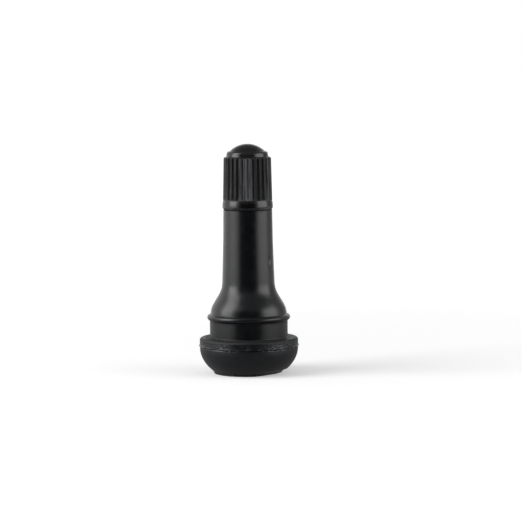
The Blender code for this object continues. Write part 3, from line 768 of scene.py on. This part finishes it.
def stem_detail(angle, r, z):
    """The stem's two threads: outside for the cap, inside for the core."""
    if z > THREAD_START and r > STEM_WALL_R:
        cone = NOSE_R + (STEM_TIP - z) * (THREAD_R - NOSE_R) / NOSE_LENGTH
        turn = thread_radius(angle, z, THREAD_PITCH, THREAD_ROOT_R, THREAD_CREST_R)
        on = smoothstep(THREAD_START, THREAD_START + THREAD_RUN_IN, z)
        return min(THREAD_R + on * (turn - THREAD_R), cone), z
    if z > PLUG_FOOT and abs(r - CORE_THREAD_R) < 0.1 * MM:
        turn = thread_radius(angle, z, CORE_PITCH, CORE_ROOT_R, CORE_CREST_R) + THREAD_GAP
        full, last = PLUG_FOOT + CORE_RUN_IN, STEM_TIP - 0.8 * MM
        on = between(z, PLUG_FOOT, full, last, STEM_TIP - 0.3 * MM)
        return r + on * (turn - r), z
    return r, z


def make_stem(material):
    points, closed = outline_of("stem_insert")
    core_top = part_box("barrel_gasket")[1].z

    def spacing(r, z):
        outside = r > STEM_WALL_R and z > THREAD_START - MM
        inside = r < STEM_WALL_R and z > core_top
        return THREAD_ROW if outside or inside else STEM_ROW

    rows = refined(points, closed, spacing)
    piece = turned("stem_threaded", rows, closed, even_angles(STEM_SEGMENTS), stem_detail)
    dress(piece, "stem_insert", "valve", material)


def plug_detail(angle, r, z):
    """The plug's thread, and the two flats that leave a bridge across its top."""
    if z > PLUG_TOP - BRIDGE_HEIGHT + WELD:
        across = abs(math.sin(angle))
        if across > WELD:
            r = min(r, BRIDGE_WIDTH / 2 / across)
    if r > PLUG_THREADED_R:
        turn = thread_radius(angle, z, CORE_PITCH, CORE_ROOT_R, CORE_CREST_R)
        foot, top = PLUG_FOOT, PLUG_TOP
        on = between(z, foot + 0.1 * MM, foot + CORE_RUN_IN, top - 0.4 * MM, top - 0.1 * MM)
        r += on * (turn - r)
    return r, z


def make_plug(brass):
    """The core's plug, with a step where its two flats begin."""
    points, closed = outline_of("core_plug")
    rows = refined(points, closed, lambda r, z: THREAD_ROW if r > PLUG_THREADED_R else RING_ROW)
    floor = PLUG_TOP - BRIDGE_HEIGHT
    at = next(i for i, (a, b) in enumerate(zip(rows, rows[1:])) if a.y < floor <= b.y)
    rows[at + 1 : at + 1] = [Vector((PLUG_R, floor)), Vector((PLUG_R, floor + 2 * WELD))]
    piece = turned("core_plug_threaded", rows, closed, even_angles(PLUG_SEGMENTS), plug_detail)
    dress(piece, "core_plug", "valve", brass)


def make_rings(brass, pin_brass, white, dark):
    """The pieces without threads, turned as they are in their solids but with rounded corners."""
    for node, body, material, slot in (
        ("core_barrel", "valve", brass, "core_brass"),
        ("barrel_gasket", "valve", white, "gasket_white"),
        ("core_pin", "pin", pin_brass, "pin_brass"),
        ("plunger_cup", "pin", brass, "core_brass"),
        ("plunger_gasket", "pin", dark, "seal_rubber"),
        ("cap_seal", "seal_ring", dark, "seal_rubber"),
    ):
        points, closed = outline_of(node)
        rows = refined(points, closed, lambda r, z: RING_ROW)
        piece = turned(node + "_turned", rows, closed, even_angles(RING_SEGMENTS))
        dress(piece, node, body, material)


def make_spring(steel):
    """The core's spring, as long as its imported solid. The real one shortens as the pin goes down.
    """
    low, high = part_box("core_spring")
    length = high.z - low.z
    middle_r = high.x - SPRING_WIRE_R
    open_rise = length - 2 * SPRING_WIRE_R - 2 * SPRING_CLOSED_PITCH
    open_pitch = open_rise / (SPRING_TURNS - 2)
    verts, faces = [], []
    for i in range(SPRING_TURNS * SPRING_STEPS + 1):
        turns = i / SPRING_STEPS
        closed = min(turns, 1) + max(turns - (SPRING_TURNS - 1), 0)
        rise = closed * SPRING_CLOSED_PITCH + (turns - closed) * open_pitch
        angle = math.tau * turns
        for around in even_angles(SPRING_SIDES):
            r = middle_r + SPRING_WIRE_R * math.cos(around)
            z = low.z + SPRING_WIRE_R + rise + SPRING_WIRE_R * math.sin(around)
            verts.append((r * math.cos(angle), r * math.sin(angle), z))
    rings = SPRING_TURNS * SPRING_STEPS
    for i in range(rings):
        a, b = i * SPRING_SIDES, (i + 1) * SPRING_SIDES
        for s in range(SPRING_SIDES):
            e = (s + 1) % SPRING_SIDES
            faces.append((a + s, b + s, b + e, a + e))
    faces.append(tuple(range(SPRING_SIDES)))
    faces.append(tuple(reversed(range(rings * SPRING_SIDES, (rings + 1) * SPRING_SIDES))))
    mesh = bpy.data.meshes.new("core_spring_wire")
    mesh.from_pydata(verts, [], faces)
    piece = smooth_piece("core_spring_wire", mesh)
    dress(piece, "core_spring", "valve", steel)
    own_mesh(piece)


def cap_detail(angle, r, z):
    """The cap's grooves on its outside and the thread in its bore."""
    if r < CAP_BORE_R + BORE_SLACK:
        foot, top = CAP_FOOT + LEAD_IN, STEM_TIP - NOSE_LENGTH
        if foot < z < top and r > CAP_BORE_R - BORE_SLACK:
            turn = thread_radius(angle, z, THREAD_PITCH, THREAD_ROOT_R, THREAD_CREST_R) + THREAD_GAP
            r += between(z, foot, foot + LEAD_IN, top - 0.5 * MM, top) * (turn - r)
        return r, z
    if z < SKIRT_TOP or z > RIB_TOP + RIB_TOP_CHAMFER + WELD:
        return r, z
    side = CAP_R + CAP_DRAFT * min((RIB_TOP - z) / (RIB_TOP - SKIRT_TOP), 1.0)
    sink = min(max((SKIRT_TOP + FLUTE_RUN_OUT - z) / FLUTE_RUN_OUT, 0.0), 1.0)
    front = (angle + math.pi / 2 + math.pi) % math.tau - math.pi
    depth = FLUTE_DEPTH * (1 - WORN_SHARE * bump_at(front, WORN_ANGLE, WORN_SPAN))
    depth -= FLUTE_EXIT * (1 - math.sqrt(max(1 - sink * sink, 0.0)))
    if depth <= 0:
        return r, z
    share = depth / FLUTE_DEPTH
    half = FLUTE_HALF_WIDTH * math.sqrt(1 - (1 - share) ** 2)
    step = math.tau / FLUTES
    offset = (angle - FLUTE_TURN + math.pi / 2 + step / 2) % step - step / 2
    across = min(abs(offset) * CAP_R / half, 1.0)
    return min(r, side - depth * (1 - across**2.4) ** 1.6), z


def cap_points():
    """The cap's outline: its bore from the ceiling down, then its outside from the foot up."""
    ceiling = DOME_FOOT - CEILING_WALL
    widest = Vector((CAP_R + CAP_DRAFT + SKIRT_PROUD, CAP_FOOT + SKIRT_WIDEST))
    skirt_foot = Vector((widest.x - SKIRT_EDGE, CAP_FOOT))
    sphere_r = (DOME_R**2 + DOME_RISE**2) / (2 * DOME_RISE)
    dome_half = math.degrees(math.asin(DOME_R / sphere_r))
    inside = (
        (0, ceiling + RECESS_DEPTH),
        (RECESS_R - RECESS_DEPTH / 2, ceiling + RECESS_DEPTH),
        (RECESS_R, ceiling),
        (CAVITY_WALL_R, ceiling),
        (CAVITY_WALL_R, STEM_TIP),
        (CAP_BORE_R, STEM_TIP - NOSE_LENGTH),
        (CAP_BORE_R, CAP_FOOT + LEAD_IN),
        (CAP_BORE_R + LEAD_IN, CAP_FOOT),
    )
    run_out = SKIRT_TOP + FLUTE_RUN_OUT * 1.1
    share = (run_out - SKIRT_TOP) / (RIB_TOP - RIB_TOP_BEVEL - SKIRT_TOP)
    grip = (
        (CAP_R + CAP_DRAFT * (1 - share), run_out),
        (CAP_R, RIB_TOP - RIB_TOP_BEVEL),
        (CAP_R - RIB_TOP_CHAMFER, RIB_TOP),
        (CROWN_R + CROWN_FLARE, RIB_TOP + RIB_TOP_CHAMFER),
    )
    points = [Vector(p) for p in inside]
    points += bulge(skirt_foot, widest, SKIRT_ROUNDING, 5)[:-1]
    points += bulge(widest, (CAP_R + CAP_DRAFT, SKIRT_TOP), SKIRT_SWELL, 6)
    points += [Vector(p) for p in grip]
    points += arc(CROWN_R - CROWN_EDGE_R, DOME_FOOT - CROWN_EDGE_R, CROWN_EDGE_R, 0, 90, 8)
    points += arc(0, CAP_APEX - sphere_r, sphere_r, 90 - dome_half, 90, 20)
    points[-1] = Vector((0, CAP_APEX))
    return points


def make_cap(material):
    """The cap, in the form of its solid."""

    def spacing(r, z):
        if r < CAP_BORE_R + BORE_SLACK:
            return BORE_ROW if CAP_FOOT + LEAD_IN < z < STEM_TIP - NOSE_LENGTH else GRIP_ROW
        if SKIRT_TOP < z < SKIRT_TOP + FLUTE_RUN_OUT:
            return RUN_OUT_ROW
        return CROWN_ROW if z > RIB_TOP - 0.4 * MM or z < SKIRT_TOP else GRIP_ROW

    rows = refined(cap_points(), False, spacing, CAP_EDGE)
    step = math.tau / FLUTES
    places = [u * FLUTE_HALF_WIDTH / CAP_R for u in FLUTE_PLACES] + [step / 2]
    start = FLUTE_TURN - math.pi / 2
    angles = [start + step * k + a for k in range(FLUTES) for a in places]
    piece = turned("cap_fluted", rows, False, angles, cap_detail)
    dress(piece, "cap", "cap", material)


# Studio


def empty_material(name):
    """A new material whose only node is its output, of which it gives the surface input."""
    material = bpy.data.materials.new(name)
    material.use_nodes = True
    tree = material.node_tree
    tree.nodes.clear()
    return material, tree, tree.nodes.new("ShaderNodeOutputMaterial").inputs["Surface"]


def stage_object(name, mesh, material):
    thing = add_object(name, mesh)
    mesh.materials.append(material)
    return thing


def stage_disc(name, segments, radius, height, material):
    work = bmesh.new()
    bmesh.ops.create_circle(work, cap_ends=True, segments=segments, radius=radius)
    mesh = bpy.data.meshes.new(name)
    work.to_mesh(mesh)
    work.free()
    disc = stage_object(name, mesh, material)
    disc.location.z = height
    return disc


def only_reflected(card):
    card.visible_camera = False
    card.visible_diffuse = False
    card.visible_shadow = False


def seen_rays(tree):
    """1 for camera, glossy and transmission rays, else 0."""
    path = tree.nodes.new("ShaderNodeLightPath").outputs
    kinds = [path[kind] for kind in ("Is Camera Ray", "Is Glossy Ray", "Is Transmission Ray")]
    return math_node(tree, "MAXIMUM", *kinds)


def make_floor():
    """A pale floor that keeps the valve's shadow."""
    material, tree, surface = empty_material("floor")
    diffuse = tree.nodes.new("ShaderNodeBsdfDiffuse")
    diffuse.inputs["Color"].default_value = FLOOR_COLOUR
    glow = tree.nodes.new("ShaderNodeEmission")
    both = tree.nodes.new("ShaderNodeAddShader")
    away = length_of(tree, tree.nodes.new("ShaderNodeTexCoord").outputs["Object"])
    level = remap(tree, away, FLOOR_NEAR, FLOOR_FAR, GLOW_NEAR, GLOW_FAR)
    tree.links.new(math_node(tree, "MULTIPLY", seen_rays(tree), level), glow.inputs["Strength"])
    tree.links.new(diffuse.outputs[0], both.inputs[0])
    tree.links.new(glow.outputs[0], both.inputs[1])
    tree.links.new(both.outputs[0], surface)
    stage_disc("floor", FLOOR_SIDES, FLOOR_R, -FLOOR_DROP, material)


def make_world():
    """White where it is seen or reflected, and a dimmer fill elsewhere."""
    world = bpy.data.worlds.new("studio")
    world.use_nodes = True
    tree = world.node_tree
    background = tree.nodes["Background"]
    background.inputs["Color"].default_value = (1.0, 1.0, 1.0, 1.0)
    level = remap(tree, seen_rays(tree), 0.0, 1.0, WORLD_FILL, 1.0)
    tree.links.new(level, background.inputs["Strength"])
    bpy.context.scene.world = world


def make_flag(name, near, far, start, end, level):
    """A dark card round the valve from one (radius, z) to another.

    Its angles are from -Y, to the right.
    """
    material, tree, surface = empty_material(name)
    glow = tree.nodes.new("ShaderNodeEmission")
    glow.inputs["Strength"].default_value = level
    tree.links.new(glow.outputs[0], surface)
    verts, faces = [], []
    for i in range(FLAG_STEPS + 1):
        angle = math.radians(start + (end - start) * i / FLAG_STEPS)
        for radius, z in (near, far):
            verts.append((radius * math.sin(angle), -radius * math.cos(angle), z))
    for i in range(FLAG_STEPS):
        faces.append((2 * i, 2 * i + 2, 2 * i + 3, 2 * i + 1))
    mesh = bpy.data.meshes.new(name)
    mesh.from_pydata(verts, [], faces)
    only_reflected(stage_object(name, mesh, material))


def make_panel(name, height, radius, level, left, fade):
    """A disc over or under the valve whose level changes between two X, from that on the left."""
    material, tree, surface = empty_material(name)
    glow = tree.nodes.new("ShaderNodeEmission")
    x, _, _ = coordinates(tree, tree.nodes.new("ShaderNodeTexCoord").outputs["Object"])
    tree.links.new(remap(tree, x, *fade, left, level), glow.inputs["Strength"])
    tree.links.new(glow.outputs[0], surface)
    only_reflected(stage_disc(name, PANEL_SIDES, radius, height, material))


def make_softbox(name, angle, height, width, tall, radiance):
    """A softbox that faces the valve. The angle is from -Y, to the right."""
    light = bpy.data.lights.new(name, "AREA")
    light.shape = "RECTANGLE"
    light.size = width
    light.size_y = tall
    light.energy = radiance * math.pi * width * tall
    lamp = add_object(name, light)
    turn = math.radians(angle)
    lamp.location = (SOFTBOX_AWAY * math.sin(turn), -SOFTBOX_AWAY * math.cos(turn), height)
    aim = Vector((0, 0, AIM_HEIGHT)) - lamp.location
    lamp.rotation_euler = aim.to_track_quat("-Z", "Y").to_euler()
    lamp.visible_camera = False


def make_studio():
    """Two softboxes at the sides, and cards that only the valve's reflections see."""
    make_floor()
    make_world()
    mat_z, card_z = -0.004 * MM, -0.01 * MM
    make_flag("front_flag", near=(0.1, 0.0), far=(0.1, 0.075), start=-41, end=41, level=0.005)
    make_flag("front_mat", near=(0.035, mat_z), far=(0.13, mat_z), start=-38, end=38, level=0.02)
    make_flag("right_rear_flag", near=(0.2, 0.0), far=(0.2, 0.3), start=104, end=150, level=0.4)
    make_panel("ceiling", 0.36, radius=0.6, level=0.25, left=0.7, fade=(-0.4, -0.1))
    make_panel("floor_card", card_z, radius=0.12, level=0.25, left=0.36, fade=(-0.016, -0.002))
    make_softbox("left_softbox", -72.5, height=0.2, width=0.24, tall=0.36, radiance=4.0)
    make_softbox("right_softbox", 72, height=0.12, width=0.285, tall=0.22, radiance=2.1)


def make_camera():
    camera = bpy.data.cameras.new("camera")
    camera.sensor_width = CAMERA_SENSOR
    camera.lens = CAMERA_LENS
    eye = add_object("camera", camera)
    turn = Matrix.Rotation(CAMERA_TILT, 4, "X") @ Matrix.Rotation(CAMERA_ROLL, 4, "Z")
    eye.matrix_world = Matrix.Translation(CAMERA_PLACE) @ turn
    bpy.context.scene.camera = eye


def build():
    rubber = body_rubber()
    plastic = cap_plastic()
    brass = turned_metal("stem_brass", *STEM_BRASS)
    core_brass = turned_metal("core_brass", *CORE_BRASS)
    pin_brass = turned_metal("pin_brass", *PIN_BRASS)
    steel = turned_metal("spring_steel", *SPRING_STEEL)
    white = soft_material("gasket_white", *GASKET_WHITE, size=0.6 * MM)
    dark = soft_material("seal_rubber", *SEAL_RUBBER, size=0.5 * MM)
    make_rubber(rubber)
    make_stem(brass)
    make_plug(core_brass)
    make_rings(core_brass, pin_brass, white, dark)
    make_spring(steel)
    make_cap(plastic)
    make_studio()
    make_camera()
    bpy.context.scene.view_settings.view_transform = "Standard"


build()
